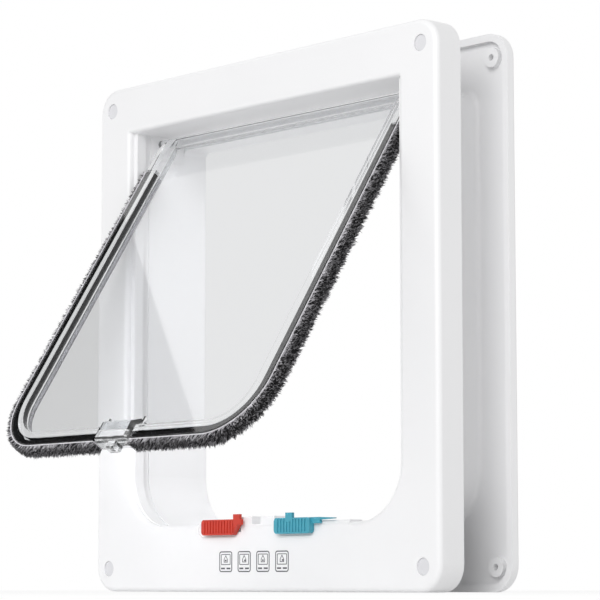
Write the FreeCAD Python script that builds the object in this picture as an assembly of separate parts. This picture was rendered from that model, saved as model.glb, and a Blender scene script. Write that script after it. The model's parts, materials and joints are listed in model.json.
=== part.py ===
import FreeCAD, Part
import os
from math import radians, sin, cos

# A four-way locking pet flap for a door: a front frame, a rear frame with its liner,
# a clear swinging panel with brush seals, and two sliding locks in the sill.
# Shapes are drawn from the middle of the front frame's bottom front edge (x across, y back, z up)
# and are moved at the end, so that the origin is the middle of the screw pattern on the door face.
# All lengths are in millimetres and all angles in degrees.

# frames
frame_width = 236.0
frame_height = 250.0
corner_radius = 12.0
front_depth = 15.0
rear_depth = 5.0
door_gap = 30.5
shell_wall = 2.4
front_edge_radius = 2.5
rear_edge_radius = 1.6
rear_rim_extra = 1.0
rib_thickness = 1.6
rib_count_side = 4
rib_count_top = 3
weld = 1.0

# screws through the door
screw_inset_x = 10.0
screw_inset_z = 11.0
screw_hole_radius = 2.2
screw_tube_wall = 2.0
cap_radius = 3.7
cap_thickness = 1.6
cap_sink = 0.7
cap_clearance = 0.1
cap_seat_spare = 1.2
boss_radius = 4.4
pilot_radius = 1.5
pilot_depth = 3.4

# tunnel through both frames
side_border = 24.6
head_border = 23.8
tunnel_floor = 30.0
tunnel_corner = 26.0
tunnel_top_corner = 3.0
liner_drop = 5.5
liner_wall = 3.6
liner_front_gap = 0.2
liner_root_radius = 2.6
slide_clearance = 0.4
sleeve_wall = 2.0
sleeve_top_corner = 2.0
sleeve_length = 20.0
hood_overhang = 1.5
liner_step_gap = 1.0
liner_tongue_length = 7.5
liner_tongue_thickness = 1.1

# lip round the front opening
bead_side_rise = 1.6
bead_floor_rise = 1.2
bead_corner = 25.0
bead_start = 3.2
bead_radius = 1.2
opening_top_corner = 0.6
mouth_side_step = 2.6
mouth_floor_step = 0.2
mouth_radius = 2.2
groove_step = 2.0
lip_setback = 2.0
groove_length = 4.5
shoulder_depth = 2.0
ring_wall = 3.0

# swinging panel, given as it hangs closed
hinge_setback = 6.7
hinge_drop = 3.7
open_angle = 32.75
panel_side_gap = 5.4
panel_floor_gap = 4.9
panel_corner = 28.0
pane_thickness = 1.8
rim_width = 8.4
rim_low_width = 7.2
rim_thickness = 7.2
rim_edge = 0.7
bar_radius = 1.9
bar_height = 5.2
bar_groove_drop = 0.7
bar_groove_radius = 0.45
taper_length = 8.0
pin_radius = 1.8
pin_clearance = 0.06
pin_end_gap = 0.4
pin_depth = 3.2
neck_radius = 2.0
side_play = 0.4

# brush strips in the panel's edge channel
channel_depth = 4.2
channel_width = 4.8
brush_clearance = 0.1
backing_thickness = 1.7
pile_clearance = 0.2
pile_width = 6.8
pile_lift = 0.1
brush_start = 21.0
brush_end_gap = 0.4

# clear catch block in the middle of the panel's bottom rim
block_half_width = 12.6
block_height = 11.2
block_front = 5.0
block_back = 3.6
block_bevel = 2.6
block_low_bevel = 0.7
block_gap = 0.2
pane_tongue = 5.6
tongue_root = 8.0
slit_clearance = 0.05
tooth_half_width = 2.5
tooth_length = 3.7
tooth_thickness = 5.0
tooth_lead = 1.0

# hinge blocks in the top corners
hinge_block_height = 12.7
hinge_block_gap = 0.1
hinge_block_neck = 2.0

# sill: the pocket for the grips, the plate over it and the channel that the lock bolts run in
pocket_left = -40.4
pocket_bottom = 25.2
pocket_depth = 0.8
pocket_corner = 4.0
plate_right_gap = 4.8
plate_bottom = 30.2
plate_top = 32.0
plate_fit = 0.05
plate_edge = 0.7
bridge_half_width = 12.0
bridge_top = 34.6
notch_side_gap = 0.5
notch_floor = 31.0
channel_floor = 27.6
channel_side_gap = 1.5
bolt_clearance = 0.4

# sliding locks
grip_height = 7.2
grip_bottom = 26.2
grip_front = -2.4
grip_back = 0.5
grip_corner = 1.8
rib_pitch = 2.0
rib_groove = 0.8
rib_groove_depth = 0.4
rib_margin = 1.5
rib_end_gap = 0.7
stem_width = 5.0
stem_height = 1.4
stem_end = 4.4
socket_clearance = 0.1
bolt_side_wall = 2.0
bolt_height = 1.9
bolt_front = 2.8
riser_depth = 1.4
arm_bottom = 30.4
arm_thickness = 1.4
post_width = 4.4
post_depth = 1.5
post_top = 35.7
catch_width = 5.5
catch_depth = 3.2
catch_top = 34.0
catch_gap = 0.8
window_gap = 0.3
red_travel = 8.0
red_grip_left = -35.3
red_grip_right = -9.8
red_chamfer = 4.4
red_chamfer_height = 4.6
red_stem_left = -24.0
red_post_left = -12.6
red_catch_left = -12.0
blue_travel = 7.0
blue_grip_left = 15.5
blue_grip_right = 39.3
blue_stem_left = 24.0
blue_post_left = 23.3
blue_catch_left = 6.0
blue_step_right = 44.5
blue_tail_right = 54.0
blue_tail_depth = 1.5
blue_tail_root = 3.0
blue_step_height = 2.8
blue_tail_start = 1.2
blue_tail_low = 0.8
blue_tail_high = 0.4

# printed signs under the sill, with places given from a sign's middle
sign_count = 4
sign_pitch = 12.95
sign_middle = -0.9
sign_width = 9.0
sign_height = 9.6
sign_centre_z = 13.9
sign_line = 0.5
sign_corner = 1.3
sign_thin_line = 0.34
door_corner = 0.4
door_half_width = 3.3
door_low = -1.5
door_high = 3.5
house_size = 2.7
house_rise = 0.7
house_bar_low = -0.8
house_bar_height = 0.7
house_bar_width = 1.1
dash_low = -3.5
dash_height = 0.75
dash_gap = 0.6
ink_height = 0.08

# places that follow from the sizes above
lip_depth = front_depth - lip_setback
bead_end = lip_depth - groove_length
sleeve_end = lip_depth + sleeve_length
hinge_y = lip_depth + hinge_setback
tunnel_half_width = frame_width / 2 - side_border
hood_ceiling = frame_height - head_border
hood_end = sleeve_end + hood_overhang
tunnel_ceiling = hood_ceiling - liner_drop
screw_spacing_x = frame_width - 2 * screw_inset_x
screw_spacing_z = frame_height - 2 * screw_inset_z
bead_half_width = tunnel_half_width - bead_side_rise
bead_floor = tunnel_floor + bead_floor_rise
hinge_z = hood_ceiling - hinge_drop
panel_half_width = tunnel_half_width - panel_side_gap
panel_length = hinge_z - tunnel_floor - panel_floor_gap
pile_height = bead_half_width - panel_half_width - pile_clearance
liner_front = lip_depth + liner_front_gap
liner_step = hood_end + liner_step_gap
hinge_block_bottom = hood_ceiling - hinge_block_height
bolt_bottom = channel_floor + bolt_clearance
riser_front = bead_end + bolt_clearance
riser_back = riser_front + riser_depth
channel_back = riser_back + bolt_clearance
plate_right = bead_half_width - bead_corner - plate_right_gap
wide = 2 * frame_width
tall = 2 * frame_height


def block(x0, x1, y0, y1, z0, z1):
    """Return the box between two opposite corners."""
    return Part.makeBox(x1 - x0, y1 - y0, z1 - z0, FreeCAD.Vector(x0, y0, z0))


def rod(radius, x0, x1, y, z):
    """Return a cylinder along x."""
    return Part.makeCylinder(radius, x1 - x0, FreeCAD.Vector(x0, y, z), FreeCAD.Vector(1, 0, 0))


def post(radius, y0, y1, x, z):
    """Return a cylinder along y."""
    return Part.makeCylinder(radius, y1 - y0, FreeCAD.Vector(x, y0, z), FreeCAD.Vector(0, 1, 0))


def corner_arc(x, z, radius, start):
    """Return a quarter circle in the xz plane, from the start angle on."""
    points = []
    for turn in (0.0, 45.0, 90.0):
        angle = radians(start + turn)
        points.append(FreeCAD.Vector(x + radius * cos(angle), 0, z + radius * sin(angle)))
    return points


def outline(x0, x1, z0, z1, low_radius, high_radius):
    """Return a closed wire: a rectangle in the xz plane with rounded low and high corners."""
    corners = [
        corner_arc(x1 - high_radius, z1 - high_radius, high_radius, 0),
        corner_arc(x0 + high_radius, z1 - high_radius, high_radius, 90),
        corner_arc(x0 + low_radius, z0 + low_radius, low_radius, 180),
        corner_arc(x1 - low_radius, z0 + low_radius, low_radius, 270),
    ]
    edges = []
    for index, corner in enumerate(corners):
        edges.append(Part.Arc(corner[0], corner[1], corner[2]).toShape())
        following = corners[(index + 1) % len(corners)]
        edges.append(Part.makeLine(corner[2], following[0]))
    return Part.Wire(edges)


def prism(wire, y0, y1):
    """Return the solid that a wire in the xz plane sweeps from y0 to y1."""
    solid = Part.Face(wire).extrude(FreeCAD.Vector(0, y1 - y0, 0))
    solid.translate(FreeCAD.Vector(0, y0, 0))
    return solid


def tunnel_prism(half_width, floor, ceiling, low_radius, high_radius, y0, y1):
    """Return a tunnel-shaped solid that is centred on x = 0."""
    return prism(outline(-half_width, half_width, floor, ceiling, low_radius, high_radius), y0, y1)


def polygon(points, y0, y1):
    """Return the prism over a polygon given as (x, z) pairs."""
    vectors = [FreeCAD.Vector(x, 0, z) for x, z in points]
    return prism(Part.makePolygon(vectors + vectors[:1]), y0, y1)


def edges_on_plane(shape, y, keep):
    """Return the edges that lie in the plane at y and whose box passes the keep test."""
    found = []
    for edge in shape.Edges:
        box = edge.BoundBox
        if abs(box.YMin - y) < 0.001 and abs(box.YMax - y) < 0.001 and keep(box):
            found.append(edge)
    return found


def any_edge(box):
    """Accept every edge."""
    return True


def in_mouth(box):
    """Tell whether an edge belongs to the opening and not to the frame's outside."""
    inside_x = abs(box.Center.x) < frame_width / 2 - corner_radius
    inside_z = corner_radius < box.Center.z < frame_height - corner_radius
    return inside_x and inside_z


def screw_places():
    """Return the four screw centres as (x, z)."""
    places = []
    for z in (-0.5, 0.5):
        for x in (-0.5, 0.5):
            places.append((x * screw_spacing_x, frame_height / 2 + z * screw_spacing_z))
    return places


def frame_prism(inset, y0, y1):
    """Return the frame's outer form, drawn in by an inset."""
    half = frame_width / 2 - inset
    radius = corner_radius - inset
    return tunnel_prism(half, inset, frame_height - inset, radius, radius, y0, y1)


def make_front_shell():
    """Return the hollow front moulding without its tunnel."""
    solid = frame_prism(0, 0, front_depth)
    solid = solid.makeFillet(front_edge_radius, edges_on_plane(solid, 0, any_edge))
    return solid.cut(frame_prism(shell_wall, shell_wall, front_depth + weld))


def make_front_ribs():
    """Return the thin ribs between the shell and the tunnel."""
    half = frame_width / 2 - weld
    sleeve_half = tunnel_half_width + liner_wall + slide_clearance + weld
    sleeve_floor = tunnel_floor - liner_wall - slide_clearance - weld
    front = shell_wall - weld
    back = front_depth - shoulder_depth
    ribs = []
    for index in range(rib_count_side):
        z = tunnel_floor + (index + 0.5) * (hood_ceiling - tunnel_floor) / rib_count_side
        for side in (-1, 1):
            x0 = min(side * half, side * sleeve_half)
            x1 = max(side * half, side * sleeve_half)
            ribs.append(block(x0, x1, front, back, z, z + rib_thickness))
    for index in range(rib_count_top):
        x = (index - (rib_count_top - 1) / 2) * 2 * tunnel_half_width / rib_count_top
        ribs.append(block(x, x + rib_thickness, front, back, hood_ceiling + weld, frame_height - weld))
        ribs.append(block(x, x + rib_thickness, front, back, weld, sleeve_floor))
    return ribs


def sleeve_form(wall, y0, y1):
    """Return the sleeve's inner form, grown by a wall, that takes the liner inside it."""
    grow = liner_wall + slide_clearance + wall
    half = tunnel_half_width + grow
    ceiling = hood_ceiling + wall
    high = sleeve_top_corner + wall
    return tunnel_prism(half, tunnel_floor - grow, ceiling, tunnel_corner + grow, high, y0, y1)


def opening_outline(side_step, floor_step, ceiling_step=0.0):
    """Return the opening's outline, grown from the bead's size at the sides, floor and ceiling."""
    half = bead_half_width + side_step
    ceiling = hood_ceiling + ceiling_step
    return outline(-half, half, bead_floor - floor_step, ceiling, bead_corner + side_step, opening_top_corner)


def opening_form(side_step, floor_step, y0, y1, ceiling_step=0.0):
    """Return the solid over the opening's outline."""
    return prism(opening_outline(side_step, floor_step, ceiling_step), y0, y1)


def bead_flare():
    """Return the form that rounds the bead's front edge, in full at the sides and hardly at the floor."""
    wires = []
    for angle in (0.0, 30.0, 60.0, 90.0):
        share = 1 - sin(radians(angle))
        wire = opening_outline(share * bead_radius, share * mouth_floor_step, ring_wall)
        wire.translate(FreeCAD.Vector(0, bead_start + bead_radius * (1 - cos(radians(angle))), 0))
        wires.append(wire)
    return Part.makeLoft(wires, True).common(block(-wide, wide, 0, lip_depth, 0, hood_ceiling))


def cut_sill(solid):
    """Cut the grips' pocket, the plate's seat, the bolts' channel and the stems' windows."""
    fit = plate_fit
    high = bridge_top + weld
    pocket = outline(pocket_left, plate_right + fit, pocket_bottom, high + pocket_corner, pocket_corner, pocket_corner)
    solid = solid.cut(prism(pocket, -weld, pocket_depth))
    seat = block(pocket_left, plate_right + fit, -weld, bead_end + fit, plate_bottom - fit, high)
    solid = solid.cut(seat)
    side = bolt_side_wall + channel_side_gap
    x0 = red_stem_left - side
    x1 = blue_stem_left + stem_width + side
    solid = solid.cut(block(x0, x1, shell_wall, channel_back, channel_floor, high))
    red_end = red_stem_left + stem_width + red_travel
    windows = [(red_stem_left, red_end), (blue_stem_left - blue_travel, blue_stem_left + stem_width)]
    for left, right in windows:
        solid = solid.cut(block(left - window_gap, right + window_gap, -weld, shell_wall + weld, channel_floor, high))
    return solid


def make_front_frame():
    """Return the front frame: shell, lip, sleeve for the liner, ribs and screw tubes."""
    solid = make_front_shell()
    hood_half = tunnel_half_width + liner_wall + slide_clearance + sleeve_wall
    ring = groove_step + ring_wall
    parts = [
        sleeve_form(sleeve_wall, lip_depth - shoulder_depth, sleeve_end),
        opening_form(ring, ring, shell_wall - weld, lip_depth, ring_wall),
        block(-hood_half, hood_half, sleeve_end - weld, hood_end, hood_ceiling, hood_ceiling + sleeve_wall),
    ]
    parts.extend(make_front_ribs())
    for x, z in screw_places():
        parts.append(post(screw_hole_radius + screw_tube_wall, shell_wall - weld, front_depth, x, z))
    solid = solid.fuse(parts)
    solid = solid.cut(sleeve_form(0, lip_depth, hood_end + weld))
    solid = solid.cut(opening_form(mouth_side_step, mouth_floor_step, -weld, bead_start))
    solid = solid.cut(opening_form(0, 0, bead_start - weld, bead_end + weld))
    solid = solid.cut(opening_form(groove_step, groove_step, bead_end, lip_depth + weld))
    solid = solid.removeSplitter()
    solid = solid.makeFillet(mouth_radius, edges_on_plane(solid, 0, in_mouth))
    solid = solid.cut(bead_flare())
    solid = cut_sill(solid)
    for x, z in screw_places():
        solid = solid.cut(post(screw_hole_radius, -weld, front_depth + weld, x, z))
        seat_depth = cap_sink + cap_thickness + cap_seat_spare
        solid = solid.cut(post(cap_radius + cap_clearance, -weld, seat_depth, x, z))
    return solid


def liner_form(wall, y0, y1):
    """Return the liner's form: the tunnel grown by a wall."""
    half = tunnel_half_width + wall
    ceiling = tunnel_ceiling + wall
    return tunnel_prism(half, tunnel_floor - wall, ceiling, tunnel_corner + wall, tunnel_top_corner + wall, y0, y1)


def make_rear_frame():
    """Return the rear frame: a shallow tray with its liner, tongue and screw bosses."""
    rim_front = front_depth + door_gap
    back = rim_front + rear_depth
    solid = frame_prism(0, rim_front, back)
    solid = solid.makeFillet(rear_edge_radius, edges_on_plane(solid, back, any_edge))
    tray_wall = shell_wall + rear_rim_extra
    solid = solid.cut(frame_prism(tray_wall, rim_front - weld, back - shell_wall))
    for x, z in screw_places():
        solid = solid.fuse(post(boss_radius, rim_front, back - weld, x, z))
    solid = solid.fuse(liner_form(liner_wall, liner_front, back - weld))
    root = edges_on_plane(solid, back - shell_wall, in_mouth)
    solid = solid.makeFillet(liner_root_radius, [edge for edge in root if edge.Length > 2])
    room_floor = hinge_block_bottom - hinge_block_gap
    solid = solid.cut(block(-wide, wide, 0, liner_step, room_floor, frame_height))
    tongue_top = hood_ceiling - 0.5 * slide_clearance
    tongue_low = tongue_top - liner_tongue_thickness
    half = tunnel_half_width - slide_clearance
    tongue = block(-half, half, liner_step - liner_tongue_length, liner_step + weld, tongue_low, tongue_top)
    riser = block(-half, half, liner_step, liner_step + liner_wall / 2, tunnel_ceiling, tongue_top)
    solid = solid.fuse([tongue, riser])
    solid = solid.cut(liner_form(0, liner_front - weld, back + weld))
    for x, z in screw_places():
        solid = solid.cut(post(pilot_radius, rim_front - weld, rim_front + pilot_depth, x, z))
    solid = solid.removeSplitter()
    return solid.makeFillet(rear_edge_radius / 2, edges_on_plane(solid, back, in_mouth))


def make_sill_plate():
    """Return the plate over the sill's channel, with a raised bridge that the tooth passes through."""
    left = pocket_left + plate_fit
    half = bridge_half_width
    solid = block(left, plate_right, pocket_depth, bead_end, plate_bottom, plate_top)
    solid = solid.fuse(block(-half, half, pocket_depth, bead_end, plate_top - weld, bridge_top))
    solid = solid.removeSplitter()
    edges = []
    for edge in edges_on_plane(solid, pocket_depth, any_edge):
        if edge.BoundBox.ZMin > plate_top - plate_edge:
            edges.append(edge)
    solid = solid.makeFillet(plate_edge, edges)
    notch = tooth_half_width + notch_side_gap
    return solid.cut(block(-notch, notch, 0, bead_end + weld, notch_floor, bridge_top + weld))


def make_hinge_block(side):
    """Return the block that holds one pivot pin in a top corner of the tunnel."""
    inner = side * tunnel_half_width
    outer = side * (tunnel_half_width + liner_wall + slide_clearance)
    x0 = min(inner, outer)
    x1 = max(inner, outer)
    rear = liner_step - hinge_block_gap
    neck = hinge_block_neck
    solid = block(x0, x1, lip_depth, rear, hinge_block_bottom, hood_ceiling - neck)
    top_x0 = x0 if side > 0 else x0 + neck
    top_x1 = x1 - neck if side > 0 else x1
    solid = solid.fuse(block(top_x0, top_x1, lip_depth, rear, hood_ceiling - neck - weld, hood_ceiling))
    hole_start = min(inner, side * (tunnel_half_width + pin_depth + pin_end_gap))
    hole_end = max(inner, side * (tunnel_half_width + pin_depth + pin_end_gap))
    solid = solid.cut(rod(pin_radius + pin_clearance, hole_start, hole_end, hinge_y, hinge_z))
    return solid.removeSplitter()


def panel_form(inset, w0, w1, low_inset=None):
    """Return the panel's form drawn in by an inset, between two depths from its middle."""
    half = panel_half_width - inset
    radius = panel_corner - inset
    low = hinge_z - panel_length + (inset if low_inset is None else low_inset)
    return tunnel_prism(half, low, hinge_z + 2 * panel_corner, radius, weld, hinge_y + w0, hinge_y + w1)


def below_hinge(v):
    """Return a large box that holds everything from a distance v below the hinge down."""
    return block(-wide, wide, -tall, tall, -tall, hinge_z - v)


def side_mask():
    """Return the panel's side profile: round at the hinge, then a taper to full thickness."""
    half = rim_thickness / 2
    low = hinge_z - panel_length - weld
    points = [
        FreeCAD.Vector(-wide, hinge_y - bar_radius, hinge_z),
        FreeCAD.Vector(-wide, hinge_y - half, hinge_z - taper_length),
        FreeCAD.Vector(-wide, hinge_y - half, low),
        FreeCAD.Vector(-wide, hinge_y + half, low),
        FreeCAD.Vector(-wide, hinge_y + half, hinge_z - taper_length),
        FreeCAD.Vector(-wide, hinge_y + bar_radius, hinge_z),
    ]
    wedge = Part.Face(Part.makePolygon(points + points[:1])).extrude(FreeCAD.Vector(2 * wide, 0, 0))
    return wedge.fuse(rod(bar_radius, -wide, wide, hinge_y, hinge_z))


def make_rim():
    """Return the rim with its edge channel and the gap for the catch block."""
    half = rim_thickness / 2
    rim = panel_form(0, -half, half)
    corner_edges = []
    for edge in rim.Edges:
        box = edge.BoundBox
        flat = box.YMax - box.YMin < 0.001
        if flat and box.ZMax < hinge_z + panel_corner:
            corner_edges.append(edge)
    rim = rim.makeFillet(rim_edge, corner_edges)
    rim = rim.cut(panel_form(rim_width, -half - weld, half + weld, rim_low_width))
    channel = panel_form(-weld, -channel_width / 2, channel_width / 2)
    channel = channel.cut(panel_form(channel_depth, -half, half))
    rim = rim.cut(channel.common(below_hinge(brush_start - weld)))
    gap = block_half_width + block_gap
    top = hinge_z - panel_length + block_height + block_gap
    return rim.cut(block(-gap, gap, hinge_y - rim_thickness, hinge_y + rim_thickness, 0, top))


def make_pane():
    """Return the flat pane with the tongue that the catch block grips."""
    half = pane_thickness / 2
    overlap = weld / 2
    gap = block_half_width + block_gap
    pane = panel_form(rim_width - overlap, -half, half, rim_low_width - overlap)
    pane = pane.cut(block(-wide, wide, hinge_y - half, hinge_y + half, hinge_z, hinge_z + tall))
    tongue = hinge_z - panel_length + pane_tongue
    pane = pane.cut(block(-gap, gap, hinge_y - half, hinge_y + half, 0, tongue + tongue_root))
    inner = gap - weld
    return pane.fuse(block(-inner, inner, hinge_y - half, hinge_y + half, tongue, tongue + tongue_root))


def make_panel():
    """Return the clear panel: pane, channelled rim, top bar and pivot pins."""
    inner = panel_half_width - rim_width + weld
    bar = block(-inner, inner, hinge_y - bar_radius, hinge_y + bar_radius, hinge_z - bar_height, hinge_z)
    bar = bar.fuse(rod(bar_radius, -panel_half_width, panel_half_width, hinge_y, hinge_z))
    groove_z = hinge_z - bar_groove_drop
    groove_y = hinge_y - bar_radius
    groove_half = panel_half_width - rim_width
    bar = bar.cut(rod(bar_groove_radius, -groove_half, groove_half, groove_y, groove_z))
    solid = make_rim().common(side_mask())
    solid = solid.fuse([make_pane(), bar])
    for side in (-1, 1):
        start = side * (panel_half_width - neck_radius)
        shoulder = side * (tunnel_half_width - side_play)
        end = side * (tunnel_half_width + pin_depth)
        solid = solid.fuse(rod(neck_radius, min(start, shoulder), max(start, shoulder), hinge_y, hinge_z))
        solid = solid.fuse(rod(pin_radius, min(start, end), max(start, end), hinge_y, hinge_z))
    return solid.removeSplitter()


def make_brush(side):
    """Return one brush strip: its backing in the channel and its pile outside it."""
    inner = channel_width / 2 - brush_clearance
    depth = channel_depth - brush_clearance
    stem = panel_form(0, -inner, inner).cut(panel_form(depth, -pile_width, pile_width))
    pile_half = pile_width / 2
    pile = panel_form(-pile_height, -pile_half, pile_half)
    pile = pile.cut(panel_form(-pile_lift, -pile_width, pile_width))
    join = panel_form(-2 * pile_lift, -inner, inner).cut(panel_form(backing_thickness, -pile_width, pile_width))
    solid = stem.fuse([join, pile]).common(below_hinge(brush_start))
    end = block_half_width + brush_end_gap
    x0 = end if side > 0 else -wide
    x1 = wide if side > 0 else -end
    return solid.common(block(x0, x1, -wide, wide, 0, frame_height)).removeSplitter()


def make_catch_block():
    """Return the clear block that carries the catch tooth, with a slit for the pane."""
    low = hinge_z - panel_length
    top = low + block_height
    half = block_half_width
    front = hinge_y - block_front
    back = hinge_y + block_back
    solid = block(-half, half, front, back, low, top)
    bevels = []
    low_bevels = []
    for edge in edges_on_plane(solid, front, any_edge):
        if edge.BoundBox.ZMax < low + weld:
            low_bevels.append(edge)
        else:
            bevels.append(edge)
    solid = solid.makeChamfer(block_bevel, bevels)
    low_edges = [edge for edge in edges_on_plane(solid, front, any_edge) if edge.BoundBox.ZMax < low + weld]
    solid = solid.makeChamfer(block_low_bevel, low_edges)
    tooth_half = tooth_thickness / 2
    tip = low - tooth_length
    y = hinge_y
    tooth = block(-tooth_half_width, tooth_half_width, y - tooth_half, y + tooth_half, tip, low + weld)
    tips = []
    for edge in tooth.Edges:
        box = edge.BoundBox
        if box.ZMax < tip + 0.001 and box.YMax - box.YMin < 0.001:
            tips.append(edge)
    solid = solid.fuse(tooth.makeChamfer(tooth_lead, tips)).removeSplitter()
    slit = pane_thickness / 2 + slit_clearance
    bottom = low + pane_tongue - slit_clearance
    return solid.cut(block(-half - weld, half + weld, y - slit, y + slit, bottom, top + weld))


def make_grip(x0, x1):
    """Return a ribbed finger grip."""
    top = grip_bottom + grip_height
    solid = prism(outline(x0, x1, grip_bottom, top, grip_corner, grip_corner), grip_front, grip_back)
    count = int((x1 - x0 - 2 * rib_margin) / rib_pitch)
    start = (x0 + x1 - count * rib_pitch) / 2
    low = grip_bottom + rib_end_gap
    high = top - rib_end_gap
    for index in range(count):
        x = start + (index + 0.5) * rib_pitch - rib_groove / 2
        solid = solid.cut(block(x, x + rib_groove, grip_front - weld, grip_front + rib_groove_depth, low, high))
    return solid


def make_stem(left):
    """Return the stem that joins a grip to its bolt through the sill's window."""
    low = bolt_bottom + (bolt_height - stem_height) / 2
    return block(left, left + stem_width, grip_back - weld, stem_end, low, low + stem_height)


def make_red_lock():
    """Return the left lock's grip, with its post and stem."""
    top = grip_bottom + grip_height
    right = red_grip_right
    solid = make_grip(red_grip_left, right)
    high = grip_bottom + red_chamfer_height
    under = grip_bottom - weld
    chamfer = [(right - red_chamfer, under), (right + weld, under), (right + weld, high), (right, high)]
    solid = solid.cut(polygon(chamfer, grip_front - weld, grip_back + weld))
    back = grip_front + post_depth
    post_right = red_post_left + post_width
    link = block(right - grip_corner, post_right + weld, grip_front, back, high, top)
    upright = block(red_post_left, post_right, grip_front, back, high, post_top)
    return solid.fuse([link, upright, make_stem(red_stem_left)]).removeSplitter()


def make_blue_lock():
    """Return the right lock's grip, with its post, stem, step and tail."""
    top = grip_bottom + grip_height
    solid = make_grip(blue_grip_left, blue_grip_right)
    step = blue_step_right
    root = blue_grip_right - blue_tail_root
    tail = [
        (root, top - blue_step_height),
        (step, top - blue_step_height),
        (step, top - blue_tail_start),
        (blue_tail_right, top - blue_tail_low),
        (blue_tail_right, top - blue_tail_high),
        (step, top),
        (root, top),
    ]
    tail_solid = polygon(tail, grip_back - blue_tail_depth, grip_back)
    back = grip_front + post_depth
    upright = block(blue_post_left, blue_post_left + post_width, grip_front, back, top - grip_corner, post_top)
    return solid.fuse([tail_solid, upright, make_stem(blue_stem_left)]).removeSplitter()


def make_bolt(stem_left, catch_left, catch_front):
    """Return a lock's bolt: socket for the stem, riser, arm and catch."""
    stem_right = stem_left + stem_width
    catch_right = catch_left + catch_width
    catch_back = catch_front + catch_depth
    arm_top = arm_bottom + arm_thickness
    wall = bolt_side_wall
    bar_left = min(stem_left, catch_left)
    bar_right = max(stem_right, catch_right)
    body = block(stem_left - wall, stem_right + wall, bolt_front, riser_back, bolt_bottom, bolt_bottom + bolt_height)
    solid = body.fuse([
        block(stem_left, stem_right, riser_front, riser_back, bolt_bottom, arm_top),
        block(stem_left, stem_right, riser_front, catch_back, arm_bottom, arm_top),
        block(bar_left, bar_right, catch_front, catch_back, arm_bottom, arm_top),
        block(catch_left, catch_right, catch_front, catch_back, arm_bottom, catch_top),
    ])
    fit = socket_clearance
    low = bolt_bottom + (bolt_height - stem_height) / 2 - fit
    high = low + stem_height + 2 * fit
    socket = block(stem_left - fit, stem_right + fit, bolt_front - weld, stem_end + fit, low, high)
    return solid.cut(socket).removeSplitter()


def make_caps():
    """Return the four screw caps by name."""
    names = ["screw_cap_low_left", "screw_cap_low_right", "screw_cap_top_left", "screw_cap_top_right"]
    caps = {}
    for name, (x, z) in zip(names, screw_places()):
        caps[name] = post(cap_radius, cap_sink, cap_sink + cap_thickness, x, z)
    return caps


def ring(x0, x1, z0, z1, radius, line):
    """Return a thin printed line round a rounded rectangle."""
    outer = prism(outline(x0, x1, z0, z1, radius, radius), -ink_height, 0)
    inner_radius = max(radius - line, line / 4)
    inner = outline(x0 + line, x1 - line, z0 + line, z1 - line, inner_radius, inner_radius)
    return outer.cut(prism(inner, -weld, weld))


def house(x, z, size, line):
    """Return the printed outline of a small house."""
    forms = []
    for inset in (0, line):
        half = size / 2 - inset
        low = z - size / 2 + inset
        peak = z + size / 2 + house_rise - 1.5 * inset
        forms.append([(x - half, low), (x + half, low), (x + half, z), (x, peak), (x - half, z)])
    return polygon(forms[0], -ink_height, 0).cut(polygon(forms[1], -weld, weld))


def make_sign(index):
    """Return one printed sign: a frame, a door, a house, a bar and two dashes."""
    x = sign_middle + (index - (sign_count - 1) / 2) * sign_pitch
    z = sign_centre_z
    half = sign_width / 2
    high = sign_height / 2
    door = door_half_width
    inks = [ring(x - half, x + half, z - high, z + high, sign_corner, sign_line)]
    inks.append(ring(x - door, x + door, z + door_low, z + door_high, door_corner, sign_thin_line))
    inks.append(house(x, z + (door_low + door_high) / 2, house_size, sign_thin_line))
    bar = house_bar_width
    bar_left = x - bar / 2 + (index % 2) * bar / 2
    bar_low = z + (door_low + door_high) / 2 + house_bar_low
    inks.append(block(bar_left, bar_left + bar, -ink_height, 0, bar_low, bar_low + house_bar_height))
    for side in (-1, 1):
        left = x + min(side * door, side * dash_gap)
        right = x + max(side * door, side * dash_gap)
        inks.append(block(left, right, -ink_height, 0, z + dash_low, z + dash_low + dash_height))
    return Part.makeCompound(inks)


def open_panel(shape):
    """Swing a shape of the panel from closed to the angle at which it stands open."""
    turned = shape.copy()
    turned.rotate(FreeCAD.Vector(0, hinge_y, hinge_z), FreeCAD.Vector(1, 0, 0), -open_angle)
    return turned


def make_all():
    """Return every piece by name, in the place where it is drawn."""
    red_catch_front = hinge_y - tooth_thickness / 2 - catch_gap - catch_depth
    blue_catch_front = hinge_y + tooth_thickness / 2 + catch_gap
    pieces = {
        "front_frame": make_front_frame(),
        "rear_frame": make_rear_frame(),
        "sill_plate": make_sill_plate(),
        "hinge_block_left": make_hinge_block(-1),
        "hinge_block_right": make_hinge_block(1),
        "flap_panel": open_panel(make_panel()),
        "catch_block": open_panel(make_catch_block()),
        "brush_strip_left": open_panel(make_brush(-1)),
        "brush_strip_right": open_panel(make_brush(1)),
        "red_lock": make_red_lock(),
        "red_lock_bolt": make_bolt(red_stem_left, red_catch_left, red_catch_front),
        "blue_lock": make_blue_lock(),
        "blue_lock_bolt": make_bolt(blue_stem_left, blue_catch_left, blue_catch_front),
    }
    pieces.update(make_caps())
    for index in range(sign_count):
        pieces["sign_" + str(index + 1)] = make_sign(index)
    return pieces


def main():
    """Write one STEP file for each piece, with the origin on the door face."""
    os.makedirs("parts", exist_ok=True)
    for name, shape in make_all().items():
        shape.translate(FreeCAD.Vector(0, -front_depth, -frame_height / 2))
        valid = all(solid.isValid() for solid in shape.Solids)
        print(name, len(shape.Solids), "solids", round(shape.Volume, 1), "mm3", "valid" if valid else "INVALID")
        shape.exportStep("parts/" + name + ".step")


main()
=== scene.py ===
# A four-way locking pet flap that stands on a pale floor, with its clear panel swung open.
import json
import math

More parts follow.
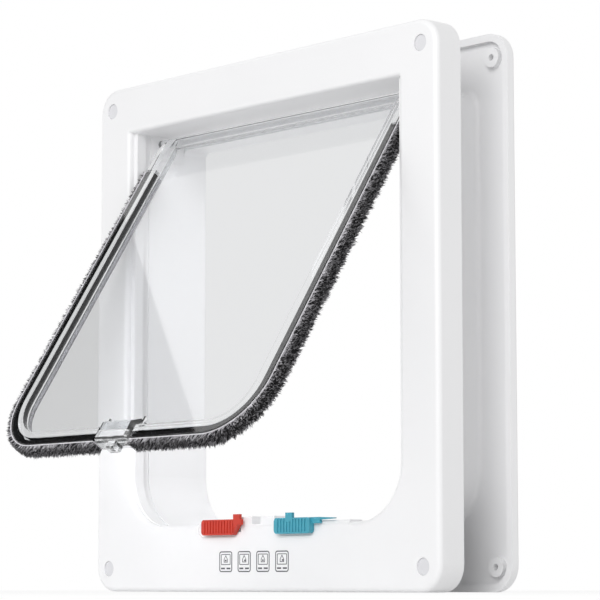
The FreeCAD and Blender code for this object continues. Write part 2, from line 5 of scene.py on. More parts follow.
import bpy
import numpy as np
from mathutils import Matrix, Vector


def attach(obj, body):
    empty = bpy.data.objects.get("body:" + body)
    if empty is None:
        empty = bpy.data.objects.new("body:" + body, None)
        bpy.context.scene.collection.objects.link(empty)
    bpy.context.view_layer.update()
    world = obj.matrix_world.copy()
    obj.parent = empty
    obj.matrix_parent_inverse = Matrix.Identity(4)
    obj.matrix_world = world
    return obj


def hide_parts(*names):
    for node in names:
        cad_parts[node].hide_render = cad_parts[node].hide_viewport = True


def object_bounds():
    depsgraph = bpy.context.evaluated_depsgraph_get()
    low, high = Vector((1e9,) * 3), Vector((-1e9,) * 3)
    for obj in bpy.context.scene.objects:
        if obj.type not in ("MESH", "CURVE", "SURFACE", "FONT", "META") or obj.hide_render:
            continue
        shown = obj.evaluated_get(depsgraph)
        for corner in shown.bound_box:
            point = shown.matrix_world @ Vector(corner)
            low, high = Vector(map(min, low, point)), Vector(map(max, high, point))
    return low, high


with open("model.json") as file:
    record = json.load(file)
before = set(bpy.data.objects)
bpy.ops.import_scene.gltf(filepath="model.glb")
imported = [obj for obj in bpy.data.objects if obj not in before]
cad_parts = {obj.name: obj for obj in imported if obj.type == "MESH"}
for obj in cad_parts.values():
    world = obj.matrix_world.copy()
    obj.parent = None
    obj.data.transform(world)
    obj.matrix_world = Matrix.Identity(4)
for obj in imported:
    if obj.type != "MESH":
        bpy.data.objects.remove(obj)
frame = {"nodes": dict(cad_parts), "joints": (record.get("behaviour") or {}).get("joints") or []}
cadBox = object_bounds()
print("frame loaded,", len(frame["nodes"]), "nodes")

mm = 0.001    # millimetres to the metres of the scene


# materials

mixLow, mixHigh, mixOut = 6, 7, 2    # a Mix node's colour sockets: its two inputs and its result


def hexToLinear(code):
    # sRGB hex to linear: c / 12.92 below 0.04045, ((c + 0.055) / 1.055) ** 2.4 above
    parts = [int(code[i:i + 2], 16) / 255 for i in (0, 2, 4)]
    return [c / 12.92 if c <= 0.04045 else ((c + 0.055) / 1.055) ** 2.4 for c in parts] + [1.0]


def addNode(tree, kind, links=None, **values):
    # one node, its settings by attribute or socket name, and links as {input: (node, output)}
    node = tree.nodes.new(kind)
    for key, value in values.items():
        if hasattr(node, key):
            setattr(node, key, value)
        else:
            node.inputs[key.replace("_", " ")].default_value = value
    for key, (source, output) in (links or {}).items():
        tree.links.new(source.outputs[output], node.inputs[key])
    return node


def newMaterial(name):
    material = bpy.data.materials.new(name)
    material.use_nodes = True
    material.node_tree.nodes.clear()
    return material


def finishMaterial(material, shader, output="BSDF"):
    addNode(material.node_tree, "ShaderNodeOutputMaterial", {"Surface": (shader, output)})
    return material


absSet = {
    "white": "f5f5f6",
    "whiteLow": "f2f2f3",
    "roughness": (0.26, 0.36),
    "grain": 0.35,      # mm between the dimples of the mould's fine texture
    "flow": 38.0,       # mm across the slow waves of shrinkage
    "depth": 0.006,     # mm of relief
    "relief": 0.25,     # strength of that relief
    "ior": 1.53,
}


def mouldedWhiteAbs():
    # Injection-moulded ABS off a polished steel mould: clean white, a soft gloss, faint slow waves
    # and a very fine orange peel that only breaks up the highlights.
    material = newMaterial("ABS white, injection moulded")
    tree = material.node_tree
    place = addNode(tree, "ShaderNodeTexCoord")
    flow = addNode(tree, "ShaderNodeTexNoise", {"Vector": (place, "Object")},
                   Scale=1000 / absSet["flow"], Detail=2.0)
    grain = addNode(tree, "ShaderNodeTexNoise", {"Vector": (place, "Object")},
                    Scale=1000 / absSet["grain"], Detail=1.0)
    colour = addNode(tree, "ShaderNodeMix", {"Factor": (flow, "Fac")}, data_type="RGBA")
    colour.inputs[mixLow].default_value = hexToLinear(absSet["whiteLow"])
    colour.inputs[mixHigh].default_value = hexToLinear(absSet["white"])
    low, high = absSet["roughness"]
    rough = addNode(tree, "ShaderNodeMapRange", {"Value": (flow, "Fac")}, To_Min=low, To_Max=high)
    bump = addNode(tree, "ShaderNodeBump", {"Height": (grain, "Fac")},
                   Strength=absSet["relief"], Distance=absSet["depth"] * mm)
    shader = addNode(tree, "ShaderNodeBsdfPrincipled", {"Normal": (bump, "Normal")},
                     IOR=absSet["ior"])
    tree.links.new(colour.outputs[mixOut], shader.inputs["Base Color"])
    tree.links.new(rough.outputs["Result"], shader.inputs["Roughness"])
    return finishMaterial(material, shader)


capSet = {
    # greyer than the frame: painted shade for the plugs sunk in their seats
    "white": "e2e2e5",
    "whiteLow": "dadadd",
    "roughness": (0.42, 0.55),
    "grain": 0.6,       # mm across a grain of the spark-eroded mould
    "depth": 0.012,
    "relief": 0.3,
    "ior": 1.53,
}


def mouldedNylon():
    # White nylon plugs off a spark-eroded mould, with a fine grain: a shade greyer than the frame,
    # painted shade for their sunk seats.
    material = newMaterial("Nylon white, injection moulded")
    tree = material.node_tree
    place = addNode(tree, "ShaderNodeTexCoord")
    grain = addNode(tree, "ShaderNodeTexNoise", {"Vector": (place, "Object")},
                    Scale=1000 / capSet["grain"], Detail=2.0)
    colour = addNode(tree, "ShaderNodeMix", {"Factor": (grain, "Fac")}, data_type="RGBA")
    colour.inputs[mixLow].default_value = hexToLinear(capSet["whiteLow"])
    colour.inputs[mixHigh].default_value = hexToLinear(capSet["white"])
    low, high = capSet["roughness"]
    rough = addNode(tree, "ShaderNodeMapRange", {"Value": (grain, "Fac")}, To_Min=low, To_Max=high)
    bump = addNode(tree, "ShaderNodeBump", {"Height": (grain, "Fac")},
                   Strength=capSet["relief"], Distance=capSet["depth"] * mm)
    shader = addNode(tree, "ShaderNodeBsdfPrincipled", {"Normal": (bump, "Normal")},
                     IOR=capSet["ior"])
    tree.links.new(colour.outputs[mixOut], shader.inputs["Base Color"])
    tree.links.new(rough.outputs["Result"], shader.inputs["Roughness"])
    return finishMaterial(material, shader)


clearSet = {
    "tint": "fafbfc",
    "polished": (0.015, 0.035),    # roughness off each kind of mould
    "frosted": (0.07, 0.11),
    "shade": "fcfcfd",  # what is left of a lamp's light behind the plastic
    "swirl": 22.0,      # mm across the flow swirls left by the melt
    "twist": 0.6,       # how far the swirls are drawn out of round
    "depth": 0.004,
    "relief": 0.15,
    "ior": 1.585,
}


def mouldedPolycarbonate(surface):
    # Optical-grade polycarbonate: high index, a trace of grey in the body and soft swirls where the
    # melt ran. Off a polished mould it is near mirror gloss, and off a frosted one it blurs what is
    # behind. Lamps shine through it, so that it throws only a pale shadow.
    material = newMaterial("Polycarbonate clear, " + surface + " mould")
    tree = material.node_tree
    place = addNode(tree, "ShaderNodeTexCoord")
    swirl = addNode(tree, "ShaderNodeTexNoise", {"Vector": (place, "Object")},
                    Scale=1000 / clearSet["swirl"], Detail=1.0, Distortion=clearSet["twist"])
    low, high = clearSet[surface]
    rough = addNode(tree, "ShaderNodeMapRange", {"Value": (swirl, "Fac")}, To_Min=low, To_Max=high)
    bump = addNode(tree, "ShaderNodeBump", {"Height": (swirl, "Fac")},
                   Strength=clearSet["relief"], Distance=clearSet["depth"] * mm)
    shader = addNode(tree, "ShaderNodeBsdfPrincipled", {"Normal": (bump, "Normal")},
                     IOR=clearSet["ior"], Transmission_Weight=1.0)
    shader.inputs["Base Color"].default_value = hexToLinear(clearSet["tint"])
    tree.links.new(rough.outputs["Result"], shader.inputs["Roughness"])
    through = addNode(tree, "ShaderNodeBsdfTransparent", Color=hexToLinear(clearSet["shade"]))
    path = addNode(tree, "ShaderNodeLightPath")
    both = addNode(tree, "ShaderNodeMixShader",
                   {"Fac": (path, "Is Shadow Ray"), 1: (shader, "BSDF"), 2: (through, "BSDF")})
    return finishMaterial(material, both, "Shader")


acetalSet = {
    "red": ("c83725", "c03221"),
    "blue": ("46a3b7", "3f99ae"),
    "roughness": (0.34, 0.46),
    "grain": 0.5,       # mm across the tool's texture
    "flow": 6.0,        # mm across a patch of one shade
    "depth": 0.01,
    "relief": 0.3,
    "ior": 1.48,
}


def mouldedAcetal(colourName):
    # Self-coloured acetal, moulded against a lightly textured tool: strong colour, waxy satin.
    material = newMaterial("Acetal " + colourName + ", injection moulded")
    tree = material.node_tree
    bright, dull = acetalSet[colourName]
    place = addNode(tree, "ShaderNodeTexCoord")
    flow = addNode(tree, "ShaderNodeTexNoise", {"Vector": (place, "Object")},
                   Scale=1000 / acetalSet["flow"], Detail=2.0)
    grain = addNode(tree, "ShaderNodeTexNoise", {"Vector": (place, "Object")},
                    Scale=1000 / acetalSet["grain"], Detail=1.0)
    colour = addNode(tree, "ShaderNodeMix", {"Factor": (flow, "Fac")}, data_type="RGBA")
    colour.inputs[mixLow].default_value = hexToLinear(dull)
    colour.inputs[mixHigh].default_value = hexToLinear(bright)
    low, high = acetalSet["roughness"]
    rough = addNode(tree, "ShaderNodeMapRange", {"Value": (grain, "Fac")}, To_Min=low, To_Max=high)
    bump = addNode(tree, "ShaderNodeBump", {"Height": (grain, "Fac")},
                   Strength=acetalSet["relief"], Distance=acetalSet["depth"] * mm)
    shader = addNode(tree, "ShaderNodeBsdfPrincipled", {"Normal": (bump, "Normal")},
                     IOR=acetalSet["ior"])
    tree.links.new(colour.outputs[mixOut], shader.inputs["Base Color"])
    tree.links.new(rough.outputs["Result"], shader.inputs["Roughness"])
    return finishMaterial(material, shader)


inkSet = {
    "grey": "4b4c50",
    "thin": "626368",
    "speckle": 0.4,     # mm across a thin spot
    "roughness": 0.55,
    "ior": 1.5,
}


def padPrintedInk():
    # Grey ink laid down by a silicone pad: matt, and a little thin where the pad lifted.
    material = newMaterial("Pad-print ink, grey")
    tree = material.node_tree
    place = addNode(tree, "ShaderNodeTexCoord")
    speckle = addNode(tree, "ShaderNodeTexNoise", {"Vector": (place, "Object")},
                      Scale=1000 / inkSet["speckle"], Detail=1.0)
    colour = addNode(tree, "ShaderNodeMix", {"Factor": (speckle, "Fac")}, data_type="RGBA")
    colour.inputs[mixLow].default_value = hexToLinear(inkSet["grey"])
    colour.inputs[mixHigh].default_value = hexToLinear(inkSet["thin"])
    shader = addNode(tree, "ShaderNodeBsdfPrincipled",
                     Roughness=inkSet["roughness"], IOR=inkSet["ior"])
    tree.links.new(colour.outputs[mixOut], shader.inputs["Base Color"])
    return finishMaterial(material, shader)


pileSet = {
    "dark": "08080a",
    "grey": "f2f0f5",
    "roughness": (0.6, 0.8),
    "clump": 1.6,                # mm across a clump of fibres with one shade
    "clumpSpan": (0.35, 0.65),   # the part of the noise that the shades are spread over
    "clumpShade": 0.75,          # the darkest clump's share of a fibre's own tone
    "gloss": 0.2,
    "sheen": 0.08,
    "sheenRoughness": 0.4,
    "ior": 1.49,
}


def spunPolypropylene():
    # Spun and crimped polypropylene yarn, cut into a pile: grey fibres of many shades over black
    # depths, painted shade. Each point's tone value says how pale the pile is there, with painted
    # shade and light in it.
    material = newMaterial("Polypropylene pile, spun yarn")
    tree = material.node_tree
    place = addNode(tree, "ShaderNodeTexCoord")
    clump = addNode(tree, "ShaderNodeTexNoise", {"Vector": (place, "Object")},
                    Scale=1000 / pileSet["clump"], Detail=2.0)
    # the tone per point: random shades, with painted shade and painted light mixed in
    tone_and_shade = addNode(tree, "ShaderNodeAttribute", attribute_name="tone_and_shade")
    darkest, palest = pileSet["clumpSpan"]
    spread = addNode(tree, "ShaderNodeMapRange", {"Value": (clump, "Fac")},
                     From_Min=darkest, From_Max=palest, To_Min=pileSet["clumpShade"], To_Max=1.0)
    blend = addNode(tree, "ShaderNodeMath", {0: (tone_and_shade, "Fac"), 1: (spread, "Result")},
                    operation="MULTIPLY")
    colour = addNode(tree, "ShaderNodeMix", {"Factor": (blend, "Value")}, data_type="RGBA")
    colour.inputs[mixLow].default_value = hexToLinear(pileSet["dark"])
    colour.inputs[mixHigh].default_value = hexToLinear(pileSet["grey"])
    low, high = pileSet["roughness"]
    rough = addNode(tree, "ShaderNodeMapRange", {"Value": (clump, "Fac")}, To_Min=low, To_Max=high)
    shader = addNode(tree, "ShaderNodeBsdfPrincipled", IOR=pileSet["ior"],
                     Specular_IOR_Level=pileSet["gloss"], Sheen_Weight=pileSet["sheen"],
                     Sheen_Roughness=pileSet["sheenRoughness"])
    tree.links.new(colour.outputs[mixOut], shader.inputs["Base Color"])
    tree.links.new(rough.outputs["Result"], shader.inputs["Roughness"])
    return finishMaterial(material, shader)


weaveSet = {
    "warp": "131214",
    "weft": "09090a",
    "pitch": 5.0265,    # mm; the real weave of about 0.8 mm is too fine to show
    "waver": 0.4,
    "depth": 0.08,
    "relief": 0.6,
    "roughness": 0.8,
    "gloss": 0.12,
    "ior": 1.49,
}
waveUnit = 2 * math.pi / 20    # a Wave node's period at scale 1


def wovenPolypropylene():
    # Flat woven tape under the pile, heat-sealed: near black, with a soft square weave.
    material = newMaterial("Polypropylene tape, woven")
    tree = material.node_tree
    place = addNode(tree, "ShaderNodeTexCoord")
    waves = []
    for direction in ("X", "Z"):
        waves.append(addNode(tree, "ShaderNodeTexWave", {"Vector": (place, "Object")},
                             bands_direction=direction,
                             Scale=waveUnit * 1000 / weaveSet["pitch"],
                             Distortion=weaveSet["waver"]))
    weave = addNode(tree, "ShaderNodeMath", {0: (waves[0], "Fac"), 1: (waves[1], "Fac")},
                    operation="MULTIPLY")
    colour = addNode(tree, "ShaderNodeMix", {"Factor": (weave, "Value")}, data_type="RGBA")
    colour.inputs[mixLow].default_value = hexToLinear(weaveSet["weft"])
    colour.inputs[mixHigh].default_value = hexToLinear(weaveSet["warp"])
    bump = addNode(tree, "ShaderNodeBump", {"Height": (weave, "Value")},
                   Strength=weaveSet["relief"], Distance=weaveSet["depth"] * mm)
    shader = addNode(tree, "ShaderNodeBsdfPrincipled", {"Normal": (bump, "Normal")},
                     IOR=weaveSet["ior"], Roughness=weaveSet["roughness"],
                     Specular_IOR_Level=weaveSet["gloss"])
    tree.links.new(colour.outputs[mixOut], shader.inputs["Base Color"])
    return finishMaterial(material, shader)


whiteAbs = mouldedWhiteAbs()
capNylon = mouldedNylon()
clearPlastic = mouldedPolycarbonate("polished")
frostedPlastic = mouldedPolycarbonate("frosted")
redAcetal = mouldedAcetal("red")
blueAcetal = mouldedAcetal("blue")
greyInk = padPrintedInk()
pileYarn = spunPolypropylene()
wovenTape = wovenPolypropylene()
print("materials made")


# CAD nodes keep their shape and take a finish

finishByNode = {
    "flap_panel": clearPlastic,
    "catch_block": frostedPlastic,
    "red_lock": redAcetal,
    "blue_lock": blueAcetal,
    "red_lock_bolt": whiteAbs,
    "blue_lock_bolt": whiteAbs,
    "screw_cap": capNylon,
    "sign": greyInk,
}


def dressNode(node, material):
    piece = frame["nodes"][node]
    piece.data.materials.clear()
    piece.data.materials.append(material)


for nodeName in frame["nodes"]:
    chosen = whiteAbs
    for start, material in finishByNode.items():
        if nodeName.startswith(start):
            chosen = material
    dressNode(nodeName, chosen)
print("CAD nodes dressed")


# brush strips

panelSet = {
    "halfWidth": 88.0,    # mm from the middle to the outside of the clear rim
    "length": 187.6,      # mm from the hinge to the bottom of the rim
    "corner": 28.0,       # mm, the rounding of the rim's low corners
    "openAngle": 32.75,   # degrees from shut, as the CAD nodes stand
}
brushSet = {
    "start": 21.0,        # mm below the hinge
    "end": 12.8,          # mm from the panel's middle
    "pileHeight": 3.6,
    "pileWidth": 6.8,
}
hinge = next(joint for joint in frame["joints"] if joint["name"] == "flap_swing")["pos_m"]


def fromPanel(u, v, w):
    # panel (across u, down v, out of its back w) to the row frame, turned by the open angle a:
    # y = hinge + w cos a - v sin a, z = hinge - w sin a - v cos a
    a = math.radians(panelSet["openAngle"])
    y = hinge[1] / mm + w * math.cos(a) - v * math.sin(a)
    z = hinge[2] / mm - w * math.sin(a) - v * math.cos(a)
    return np.stack([u + 0 * y, y, z], -1) * mm


def stripPath(s, side):
    # the rim's edge by length s: straight down, a quarter turn of radius r, then in to the middle,
    # as places (u, v) and the directions (nu, nv) that point out of the panel there
    half, low, r = panelSet["halfWidth"], panelSet["length"], panelSet["corner"]
    down = low - r - brushSet["start"]
    turn = math.pi / 2 * r
    angle = np.clip((s - down) / r, 0, math.pi / 2)
    across = np.clip(s - down - turn, 0, None)
    u = half - r + r * np.cos(angle) - across
    v = np.where(s < down, brushSet["start"] + s, low - r + r * np.sin(angle))
    return side * u, v, side * np.cos(angle), np.sin(angle)


def stripLength():
    # the straight side, the quarter turn and the low run to the catch block, added up
    down = panelSet["length"] - panelSet["corner"] - brushSet["start"]
    turn = math.pi / 2 * panelSet["corner"]
    return down + turn + panelSet["halfWidth"] - panelSet["corner"] - brushSet["end"]


def meshFrom(name, points, faces, material, tones=None):
    # points is an array, faces a list of corner numbers, tones one value for each point
    mesh = bpy.data.meshes.new(name)
    mesh.from_pydata(points.reshape(-1, 3).tolist(), [], faces)
    mesh.materials.append(material)
    if tones is not None:
        shade = mesh.attributes.new("tone_and_shade", "FLOAT", "POINT")
        shade.data.foreach_set("value", tones.astype(np.float32))
    mesh.update()
    piece = bpy.data.objects.new(name, mesh)
    bpy.context.scene.collection.objects.link(piece)
    return piece


def sweptSolid(name, profile, side, material, steps, tones):
    # a closed profile (height h, depth w) carried along the strip's path: point = path + h n + w b
    s = np.linspace(0, stripLength(), steps)
    u, v, nu, nv = stripPath(s, side)
    h, w = profile[:, 0], profile[:, 1]
    points = fromPanel(u[:, None] + nu[:, None] * h, v[:, None] + nv[:, None] * h, w[None, :])
    count = len(profile)
    i, j = np.meshgrid(np.arange(steps - 1), np.arange(count), indexing="ij")
    a = i * count + j
    b = i * count + (j + 1) % count
    quads = np.stack([a, b, b + count, a + count], -1).reshape(-1, 4)
    if side > 0:
        quads = quads[:, ::-1]
    first = np.arange(count)
    last = first + (steps - 1) * count
    caps = [first[::-1], last] if side < 0 else [first, last[::-1]]
    faces = quads.tolist() + [cap.tolist() for cap in caps]
    return meshFrom(name, points, faces, material, np.tile(tones, steps))


backingSet = {
    "width": 4.6,
    "depth": 2.9,
    "sunk": 0.1,        # mm from the rim's edge down to the tape's top
    "steps": 160,
}


def brushBacking(side, label):
    # the woven tape in the rim's channel, a flat rectangle
    half, deep, top = backingSet["width"] / 2, backingSet["depth"], backingSet["sunk"]
    profile = np.array([(-deep, -half), (-deep, half), (-top, half), (-top, -half)])
    return sweptSolid("brush_backing_" + label, profile, side, wovenTape, backingSet["steps"],
                      np.zeros(len(profile)))


# a pale band along the rim's edge: painted highlight
rimHighlightSet = {"low": 0.02, "high": 0.45, "steps": 200}


def brushRimHighlight(side, label):
    # a pale flat band between the rim and the pile: painted highlight along the rim's edge
    half, low, high = brushSet["pileWidth"] / 2, rimHighlightSet["low"], rimHighlightSet["high"]
    profile = np.array([(low, -half), (low, half), (high, half), (high, -half)])
    return sweptSolid("brush_rim_highlight_" + label, profile, side, pileYarn, rimHighlightSet["steps"],
                      np.ones(len(profile)))


coreSet = {
    "inset": 0.5,       # mm in from the pile's sides
    "high": 1.9,
    "lift": 0.35,       # mm from the rim's edge to the ridge's feet
    "foot": 0.3,
    "points": 13,       # across the ridge
    "steps": 200,
    # the ridge is near black: painted shade in the pile's depths
    "tone_and_shade": 0.1,
    "fade": 1.5,        # how fast the ridge's painted shade darkens to black towards its top
}


def brushCore(side, label):
    # the crowded lower part of the pile: a rounded ridge, h = c (1 - |w / k| ** 3) + lift, whose
    # tone, painted shade for the depths between the fibres, falls to none at its top
    half = brushSet["pileWidth"] / 2 - coreSet["inset"]
    high, lift = coreSet["high"], coreSet["lift"]
    w = np.linspace(-half, half, coreSet["points"])
    h = high * (1 - np.abs(w / half) ** 3) + lift
    base = np.array([(coreSet["foot"], half), (coreSet["foot"], -half)])
    profile = np.concatenate([base, np.stack([h, w], -1)])
    top = coreSet["tone_and_shade"] * (1 - h / (high + lift)) ** coreSet["fade"]
    tones = np.concatenate([np.full(len(base), coreSet["tone_and_shade"]), top])
    return sweptSolid("brush_core_" + label, profile, side, pileYarn, coreSet["steps"], tones)


fibreSet = {
    "count": 6400,            # in each half of a strip
    "radius": 0.23,           # mm, a tuft of yarn, since single fibres are too fine to show
    "radiusSpread": (0.7, 1.3),
    "inset": 0.35,            # mm from the strip's sides to the outermost feet
    "tuft": 1.05,             # mm between the tufts that the tips gather into
    "wander": 0.6,            # a tuft's place, as a share of its cell
    "pull": 0.8,              # how far the tips reach towards the middle of their tuft
    "height": 0.84,           # the mean length, as a share of the pile's height
    "heightSpread": 0.1,      # between fibres
    "tuftSpread": 0.2,        # between tufts
    "shoulder": 0.18,         # how much shorter the fibres at the sides are
    "lean": 0.3,
    "leanSpread": (0.5, 0.4),     # along the strip and across it
    "splay": 0.05,            # outward lean for each mm from the middle line
    # height, bend and radius at the root and at the elbow, as shares of the fibre's own
    "rings": ((0.1, 0.0, 1.0), (0.6, 0.35, 0.85)),
    "seed": 11,
}
toneSet = {
    "dim": 0.02,              # the tone of the black fibres
    "pale": (0.6, 0.95),      # and the span of the grey ones
    "side": 0.6,              # the share of the half width where the sides begin
    "dimShare": (0.4, 0.45),  # of all fibres, at the sides and in the middle; more of them in the middle, as painted shade
    "middle": 0.6,            # the middle's tone, as a share of the sides': painted shade in the middle, painted light on the sides
    "sideLightRise": (0.45, 0.3),      # where the painted light starts to rise towards the sides, and over what share
    "tuft": 0.7,              # the darkest tuft's share
    "tip": 0.75,              # the tip's share: painted shade at the pile's outer edge
}


def tuftChances(row, column, seed):
    # three numbers from 0 to 1 for each tuft, from the scrambled digits of a sine of its place
    first = np.modf(np.abs(np.sin(row * 78.233 + column * 12.9898 + seed)) * 43758.5453)[0]
    return first, np.modf(first * 917.31)[0], np.modf(first * 331.7)[0]


def brushFibres(side, label, startShare, endShare, seed):
    # each fibre is a thin three-sided spike, bent once: root, elbow and tip along
    # d(t) = n (1 - t) + t (n + lean), with its foot spread evenly over the strip and its tip
    # drawn to the middle of its tuft
    random = np.random.default_rng(seed)
    count, lean, pull = fibreSet["count"], fibreSet["lean"], fibreSet["pull"]
    halfWidth = brushSet["pileWidth"] / 2
    s = random.uniform(startShare, endShare, count) * stripLength()
    w = random.uniform(-1, 1, count) * (halfWidth - fibreSet["inset"])
    edge = np.abs(w) / halfWidth

    # tufts
    pitch, wander = fibreSet["tuft"], fibreSet["wander"]
    row, column = np.floor(w / pitch + 0.5), np.floor(s / pitch)
    chance, other, third = tuftChances(row, column, seed)
    tuftS = (column + 0.5 + wander * (chance - 0.5)) * pitch
    tuftW = (row + wander * (other - 0.5)) * pitch

    # lengths, leans and thickness
    size = brushSet["pileHeight"] * (fibreSet["height"]
                                     + fibreSet["heightSpread"] * random.uniform(-1, 1, count)
                                     + fibreSet["tuftSpread"] * (other - 0.5))
    spreadAlong, spreadAcross = fibreSet["leanSpread"]
    along = pull * (tuftS - s) / size + lean * random.normal(0, spreadAlong, count)
    along = along + lean * 2 * (third - 0.5)
    across = pull * (tuftW - w) / size + lean * random.normal(0, spreadAcross, count)
    across = across + fibreSet["splay"] * w
    size = size * (1 - fibreSet["shoulder"] * edge ** 4)
    thin = fibreSet["radius"] * random.uniform(*fibreSet["radiusSpread"], count)
    turn = random.uniform(0, 2 * math.pi, count)

    # points: two rings of three and the tip
    u, v, nu, nv = stripPath(s, side)
    tu, tv = -nv * side, nu * side
    places = []
    for height, bend, radius in fibreSet["rings"]:
        for corner in range(3):
            phase = turn + corner * 2 * math.pi / 3
            ds = thin * radius * np.cos(phase) + along * bend * size
            dw = thin * radius * np.sin(phase) + across * bend * size
            places.append((height * size, ds, dw))
    places.append((size, along * size, across * size))
    rings = [fromPanel(u + nu * h + tu * ds, v + nv * h + tv * ds, w + dw) for h, ds, dw in places]
    triangles = np.array([(0, 3, 4), (0, 4, 1), (1, 4, 5), (1, 5, 2), (2, 5, 3), (2, 3, 0),
                          (3, 6, 4), (4, 6, 5), (5, 6, 3), (0, 1, 2)])
    if side > 0:
        triangles = triangles[:, ::-1]
    faces = (np.arange(count)[:, None, None] * len(rings) + triangles[None]).reshape(-1, 3)

    # tones: random shades, with painted shade in the middle and at the tips, painted light on the
    # sides
    sideShare, middleShare = toneSet["dimShare"]
    dim = random.uniform(0, 1, count) < np.where(edge > toneSet["side"], sideShare, middleShare)
    shade = np.where(dim, toneSet["dim"], random.uniform(*toneSet["pale"], count))
    # painted light: paler towards the pile's sides, where the light falls, and darker in the middle
    # as painted shade
    riseFrom, riseOver = toneSet["sideLightRise"]
    shade = shade * (toneSet["middle"]
                     + (1 - toneSet["middle"]) * np.clip((edge - riseFrom) / riseOver, 0, 1))
    shade = shade * (toneSet["tuft"] + (1 - toneSet["tuft"]) * other)
    # the tips are darker: painted shade at the pile's outer edge
    tones = np.stack([shade] * (len(rings) - 1) + [shade * toneSet["tip"]], 1).reshape(-1)
    return meshFrom("brush_pile_" + label, np.stack(rings, 1), faces.tolist(), pileYarn, tones)


for side, label in ((-1, "left"), (1, "right")):
    strip = [brushBacking(side, label), brushRimHighlight(side, label), brushCore(side, label)]
    for half in (0, 1):    # two pieces, so that neither has too many faces
        strip.append(brushFibres(side, label + "_" + "ab"[half], half / 2, (half + 1) / 2,
                                 fibreSet["seed"] + 10 * half + side))
    for piece in strip:
        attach(piece, "flap")
        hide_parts("brush_strip_" + label)
print("brush strips made")


# floor, light and camera

stageSet = {
    "floorSize": 6.0,        # metres
    "floorColour": "f4f4f4",
    "floorRoughness": 0.9,
    "shadowShare": 0.18,     # how much of the floor's own shading the camera sees
    "ambient": 0.55,         # how bright the room is for the light on the object
    "throughClear": 0.80,    # white as it shows through the clear plastic
    "floorGlow": 0.45,       # the floor is a lit table: this share of it glows white on the object
    "glowReach": (0.13, 0.25),    # metres from the origin over which that glow comes up
    "clearReach": (0.14, 0.45),   # metres from the origin over which the floor's shading fades out
}


def seenRay(tree, path):
    # 1 for a ray from the camera, off a glossy surface or through the clear plastic, otherwise 0
    seen = addNode(tree, "ShaderNodeMath", {0: (path, "Is Camera Ray"), 1: (path, "Is Glossy Ray")},
                   operation="MAXIMUM")
    return addNode(tree, "ShaderNodeMath", {0: (seen, "Value"), 1: (path, "Is Transmission Ray")},
                   operation="MAXIMUM")


def seenLevel(tree, path):
    # 1, or less for a ray through the clear plastic
    return addNode(tree, "ShaderNodeMapRange", {"Value": (path, "Is Transmission Ray")},
                   To_Min=1.0, To_Max=stageSet["throughClear"])


def floorPaint():
    # matt white paint; the camera sees it nearly white, with a share of its true shading near
    # the object that fades to none further out
    material = newMaterial("Paint white, rolled")
    tree = material.node_tree
    place = addNode(tree, "ShaderNodeTexCoord")
    away = addNode(tree, "ShaderNodeVectorMath", {0: (place, "Object")}, operation="LENGTH")
    near, far = stageSet["clearReach"]
    fade = addNode(tree, "ShaderNodeMapRange", {"Value": (away, "Value")},
                   interpolation_type="SMOOTHSTEP", From_Min=near, From_Max=far,
                   To_Min=1 - stageSet["shadowShare"], To_Max=1.0)
    paint = addNode(tree, "ShaderNodeBsdfPrincipled", Roughness=stageSet["floorRoughness"])
    paint.inputs["Base Color"].default_value = hexToLinear(stageSet["floorColour"])
    path = addNode(tree, "ShaderNodeLightPath")
    glow = addNode(tree, "ShaderNodeEmission", {"Strength": (seenLevel(tree, path), "Result")})
    seen = seenRay(tree, path)
    shown = addNode(tree, "ShaderNodeMath", {0: (seen, "Value"), 1: (fade, "Result")},
                    operation="MULTIPLY")
    near, far = stageSet["glowReach"]
    lit = addNode(tree, "ShaderNodeMapRange", {"Value": (away, "Value")},
                  interpolation_type="SMOOTHSTEP", From_Min=near, From_Max=far,
                  To_Min=0.0, To_Max=stageSet["floorGlow"])
    share = addNode(tree, "ShaderNodeMath", {0: (shown, "Value"), 1: (lit, "Result")},
                    operation="MAXIMUM")
    mix = addNode(tree, "ShaderNodeMixShader",
                  {"Fac": (share, "Value"), 1: (paint, "BSDF"), 2: (glow, "Emission")})
    return finishMaterial(material, mix, "Shader")


def makeFloor():
    half = stageSet["floorSize"] / 2
    low = cadBox[0].z
    corners = np.array([(-half, -half, low), (half, -half, low),
                        (half, half, low), (-half, half, low)])
    floor = meshFrom("floor", corners, [(0, 1, 2, 3)], floorPaint())


def makeWorld():
    # an even white room, that lights the object less than it shows
    world = bpy.data.worlds.new("studio")
    bpy.context.scene.world = world
    world.use_nodes = True
    tree = world.node_tree
    tree.nodes.clear()
    path = addNode(tree, "ShaderNodeLightPath")
    plain = addNode(tree, "ShaderNodeMapRange", {"Value": (seenRay(tree, path), "Value")},
                    To_Min=stageSet["ambient"], To_Max=1.0)
    bright = seenLevel(tree, path)
    level = addNode(tree, "ShaderNodeMath", {0: (plain, "Result"), 1: (bright, "Result")},
                    operation="MULTIPLY")
    glow = addNode(tree, "ShaderNodeBackground", {"Strength": (level, "Value")}, Color=(1, 1, 1, 1))
    addNode(tree, "ShaderNodeOutputWorld", {"Surface": (glow, "Background")})


lampSet = {
    # position and size in metres, power in watts; each lamp points at the middle of the flap
    "softbox": {"at": (1.53, -3.29, 1.69), "size": 2.2, "power": 75.0},
}


def makeLamps():
    for name, lamp in lampSet.items():
        data = bpy.data.lights.new("lamp " + name, "AREA")
        data.shape = "SQUARE"
        data.size = lamp["size"]
        data.energy = lamp["power"]
        light = bpy.data.objects.new("lamp " + name, data)
        light.location = lamp["at"]
        light.rotation_mode = "QUATERNION"
        light.rotation_quaternion = (-Vector(lamp["at"])).to_track_quat("-Z", "Y")
        bpy.context.scene.collection.objects.link(light)


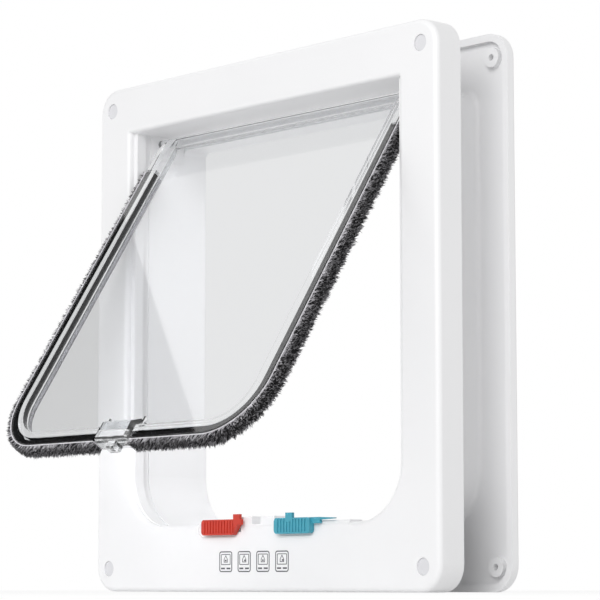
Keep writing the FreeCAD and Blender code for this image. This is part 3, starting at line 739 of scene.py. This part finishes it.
cardSet = {
    # a black card out to the left, in metres, which only reflections see: it darkens the clear
    # panel's gloss
    "edge": (-1.168, -0.308, 0.927),    # middle of the edge that shows in the panel
    "along": (0.542, -0.715, -0.443),   # the way that edge runs
    "across": (-0.628, 0.006, -0.778),  # the way from it to the card's far edge
    "length": 1.8,
    "width": 0.5,
    "colour": "0b0b0c",
    "nap": 2.5,           # mm across a tuft of the felt
    "napDepth": 0.4,      # mm
    "napRelief": 0.5,
    "roughness": 0.95,
}


def cardFelt():
    # black wool felt, needled: it swallows light
    material = newMaterial("Felt black, needled")
    tree = material.node_tree
    place = addNode(tree, "ShaderNodeTexCoord")
    nap = addNode(tree, "ShaderNodeTexNoise", {"Vector": (place, "Object")},
                  Scale=1000 / cardSet["nap"])
    bump = addNode(tree, "ShaderNodeBump", {"Height": (nap, "Fac")},
                   Strength=cardSet["napRelief"], Distance=cardSet["napDepth"] * mm)
    shader = addNode(tree, "ShaderNodeBsdfPrincipled", {"Normal": (bump, "Normal")},
                     Roughness=cardSet["roughness"])
    shader.inputs["Base Color"].default_value = hexToLinear(cardSet["colour"])
    return finishMaterial(material, shader)


def makeCard():
    # corners = edge +- length / 2 along, and the same moved by width across
    edge, along, across = (np.array(cardSet[key]) for key in ("edge", "along", "across"))
    reach = along * cardSet["length"] / 2
    deep = across * cardSet["width"]
    corners = np.stack([edge - reach, edge + reach, edge + reach + deep, edge - reach + deep])
    card = meshFrom("black_card", corners, [(0, 1, 2, 3)], cardFelt())
    card.visible_camera = False
    card.visible_diffuse = False
    card.visible_shadow = False


cameraSet = {
    "round": 47.321,       # degrees round from the front, towards the right side
    "upward": 6.586,       # degrees above level, from close to the floor
    "distance": 1.11721,   # metres
    "target": (0.03058, -0.015, 0.00713),
    "focal": 2452.6,       # in pixels of the 600 pixel wide picture
    "picture": 600,
    "sensor": 36.0,        # mm wide
    "clipStart": 0.01,     # metres
}


def makeCamera():
    a, e = math.radians(cameraSet["round"]), math.radians(cameraSet["upward"])
    forward = Vector((-math.sin(a) * math.cos(e), math.cos(a) * math.cos(e), math.sin(e)))
    data = bpy.data.cameras.new("camera")
    data.sensor_width = cameraSet["sensor"]
    data.lens = cameraSet["sensor"] * cameraSet["focal"] / cameraSet["picture"]
    data.clip_start = cameraSet["clipStart"]
    camera = bpy.data.objects.new("camera", data)
    camera.location = Vector(cameraSet["target"]) - forward * cameraSet["distance"]
    camera.rotation_mode = "QUATERNION"
    camera.rotation_quaternion = forward.to_track_quat("-Z", "Y")
    bpy.context.scene.collection.objects.link(camera)
    bpy.context.scene.camera = camera


makeFloor()
makeWorld()
makeLamps()
makeCard()
makeCamera()
bpy.context.scene.view_settings.view_transform = "Standard"
print("floor, light and camera placed")
